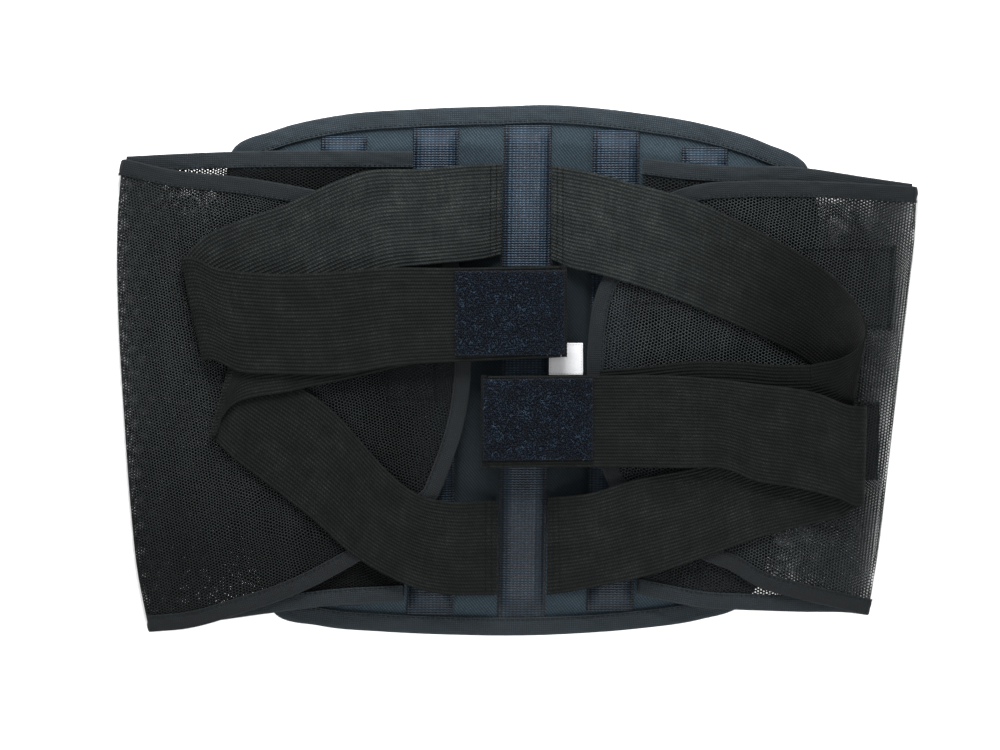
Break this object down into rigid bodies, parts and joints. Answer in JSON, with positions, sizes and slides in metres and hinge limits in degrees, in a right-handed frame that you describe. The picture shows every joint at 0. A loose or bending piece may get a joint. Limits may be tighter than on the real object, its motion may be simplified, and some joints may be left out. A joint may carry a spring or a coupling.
{
  "type": "lumbar support belt",
  "caption": "Elastic back support belt with a padded, stay-stiffened back panel, net wings folded over it and cross-over pull straps ending in hook tabs.",
  "frame": {"origin": "a point on the body side of the back panel, on the flat of its lining, near the middle of the panel", "axes": "+X along the belt towards the right-hand wing in the view of the outer side, +Y up the back, +Z out from the wearer's back; the belt lies flat with its outer side up and both wings folded over"},
  "size_m": [0.4885, 0.3192, 0.0561],
  "materials": {
    "binding": "matte woven tape",
    "panel_cloth": "matte twill",
    "lining": "matte knit",
    "foam": "matte closed-cell foam",
    "webbing": "ribbed satin webbing",
    "steel": "brushed",
    "mesh": "open net",
    "elastic": "ribbed matte elastic",
    "hook": "hook pile",
    "loop": "brushed loop pile",
    "label": "satin, blank"
  },
  "bodies": {
    "back_panel": {"panel_lining": "lining", "panel_foam_core": "foam", "panel_cover": "panel_cloth", "panel_binding": "binding", "stay_channel_1": "webbing", "stay_channel_2": "webbing", "stay_channel_3": "webbing", "stay_channel_4": "webbing", "stay_channel_5": "webbing", "stay_1": "steel", "stay_2": "steel", "stay_3": "steel", "stay_4": "steel", "stay_5": "steel", "left_wing_base": "mesh", "left_wing_base_binding_top": "binding", "left_wing_base_binding_low": "binding", "left_wing_bend": "mesh", "right_wing_base": "mesh", "right_wing_base_binding_top": "binding", "right_wing_base_binding_low": "binding", "right_wing_bend": "mesh", "upper_left_band": "elastic", "lower_left_band": "elastic", "upper_right_band": "elastic", "lower_right_band": "elastic", "label": "label"},
    "left_flap": {"left_wing_flap": "mesh", "left_wing_flap_binding": "binding", "left_closure_patch": "loop"},
    "right_flap": {"right_wing_flap": "mesh", "right_wing_flap_binding": "binding", "right_landing_patch_upper": "loop", "right_landing_patch_lower": "loop", "right_closure_patch": "loop"},
    "left_pull": {"left_pull_strap": "elastic", "left_under_strap": "elastic", "left_hook_patch": "hook", "left_tab_hem": "elastic"},
    "right_pull": {"right_pull_strap": "elastic", "right_under_strap": "elastic", "right_hook_patch": "hook", "right_tab_hem": "elastic"}
  },
  "joints": [
    {"name": "left_wing_fold", "type": "hinge", "parent": "back_panel", "child": "left_flap", "pos_m": [-0.234, -0.0144, 0.0037], "axis": [0.0511, -0.9987, 0], "range_deg": [0, 175], "deforming": ["upper_left_band", "lower_left_band", "left_pull_strap", "left_under_strap", "left_hook_patch", "left_wing_bend"]},
    {"name": "right_wing_fold", "type": "hinge", "parent": "back_panel", "child": "right_flap", "pos_m": [0.2259, -0.0183, 0.0037], "axis": [0.1132, 0.9936, 0], "range_deg": [0, 175], "deforming": ["upper_right_band", "lower_right_band", "right_pull_strap", "right_under_strap", "right_hook_patch", "right_wing_bend"]},
    {"name": "left_strap_lift", "type": "hinge", "parent": "back_panel", "child": "left_pull", "pos_m": [-0.192, 0.0366, 0.017], "axis": [0.2089, -0.9779, 0], "range_deg": [0, 170]},
    {"name": "right_strap_lift", "type": "hinge", "parent": "back_panel", "child": "right_pull", "pos_m": [0.204, -0.0519, 0.0197], "axis": [-0.02, 0.9998, 0], "range_deg": [0, 170]}
  ]
}
